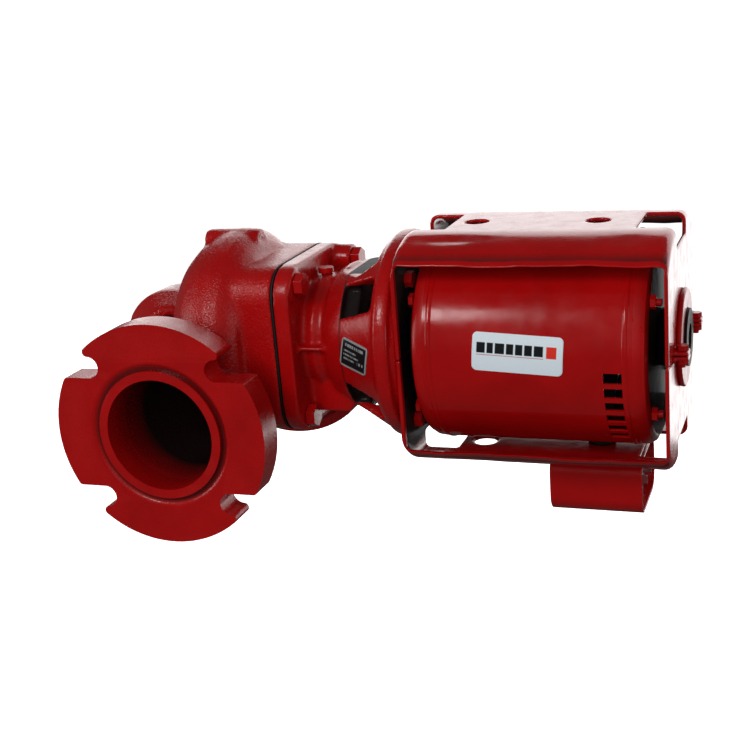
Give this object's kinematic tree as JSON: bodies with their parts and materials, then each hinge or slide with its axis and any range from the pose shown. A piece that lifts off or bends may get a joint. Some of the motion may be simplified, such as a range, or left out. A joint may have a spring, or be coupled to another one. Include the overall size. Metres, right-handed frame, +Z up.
{
  "type": "circulator pump",
  "caption": "In-line flanged circulator pump: cast volute with slotted flanges, bearing bracket with coupler, and a resilient-mounted motor in a pressed cradle.",
  "frame": {"origin": "centre of the outlet port at the outlet flange's face", "axes": "+X along the shaft towards the motor, +Y along the pipe from outlet to inlet, +Z up"},
  "size_m": [0.4345, 0.243, 0.2],
  "materials": {
    "cast_red": "gloss enamel over a sand-cast skin",
    "bracket_red": "gloss enamel over a smooth casting",
    "shell_red": "gloss enamel on rolled steel",
    "bell_red": "gloss enamel on die casting",
    "cradle_red": "gloss enamel on pressed steel",
    "fastener_red": "overpainted steel fastener",
    "gasket_black": "matt fibre sheet",
    "ground_steel": "ground",
    "bronze": "as machined",
    "carbon": "lapped carbon",
    "ceramic": "lapped ceramic",
    "coupler_iron": "as machined",
    "rubber_black": "matt",
    "rubber_red": "overpainted rubber",
    "lamination": "stacked sheet edges",
    "copper_winding": "varnished",
    "rotor_aluminium": "turned",
    "fan_black": "moulded",
    "capacitor_can": "drawn can",
    "grommet_black": "matt",
    "label_white": "printed film",
    "plate_black": "printed foil with bare border"
  },
  "bodies": {
    "pump_body": {"volute_casing": "cast_red", "gauge_plugs": "fastener_red", "casing_gasket": "gasket_black", "bearing_bracket": "bracket_red", "casing_cap_screws": "fastener_red", "ring_cap_screws": "fastener_red", "oil_cap": "fastener_red", "seal_seat": "ceramic", "shaft_bushings": "bronze", "motor_shell": "shell_red", "front_end_bell": "bell_red", "rear_end_bell": "bell_red", "through_bolts": "fastener_red", "stator_core": "lamination", "stator_windings": "copper_winding", "stator_fit_band": "lamination", "front_motor_bearing": "bronze", "rear_motor_bearing": "bronze", "front_resilient_ring": "rubber_black", "rear_resilient_ring": "rubber_red", "cradle_upper": "cradle_red", "cradle_lower": "cradle_red", "cradle_clamp_bolts": "fastener_red", "cradle_clamp_nuts": "fastener_red", "capacitor_sleeve": "cradle_red", "run_capacitor": "capacitor_can", "lead_grommet": "grommet_black", "maker_label": "label_white", "rating_plate": "plate_black"},
    "pump_rotor": {"pump_shaft": "ground_steel", "impeller": "bronze", "impeller_nut": "bronze", "seal_head": "carbon", "seal_spring": "ground_steel", "thrust_collar": "ground_steel", "coupler_hub_pump": "coupler_iron"},
    "motor_rotor": {"motor_shaft": "ground_steel", "rotor_core": "rotor_aluminium", "cooling_fan": "fan_black", "coupler_hub_motor": "coupler_iron", "coupler_spider": "rubber_black"}
  },
  "joints": [
    {"name": "motor_spin", "type": "hinge", "parent": "pump_body", "child": "motor_rotor", "pos_m": [0.234, 0.11, 0.044], "axis": [1, 0, 0], "continuous": true},
    {"name": "pump_spin", "type": "hinge", "parent": "pump_body", "child": "pump_rotor", "pos_m": [0.06, 0.11, 0.044], "axis": [1, 0, 0], "continuous": true}
  ],
  "couplings": [
    {"joint": "pump_spin", "follows": "motor_spin", "ratio": 1}
  ]
}
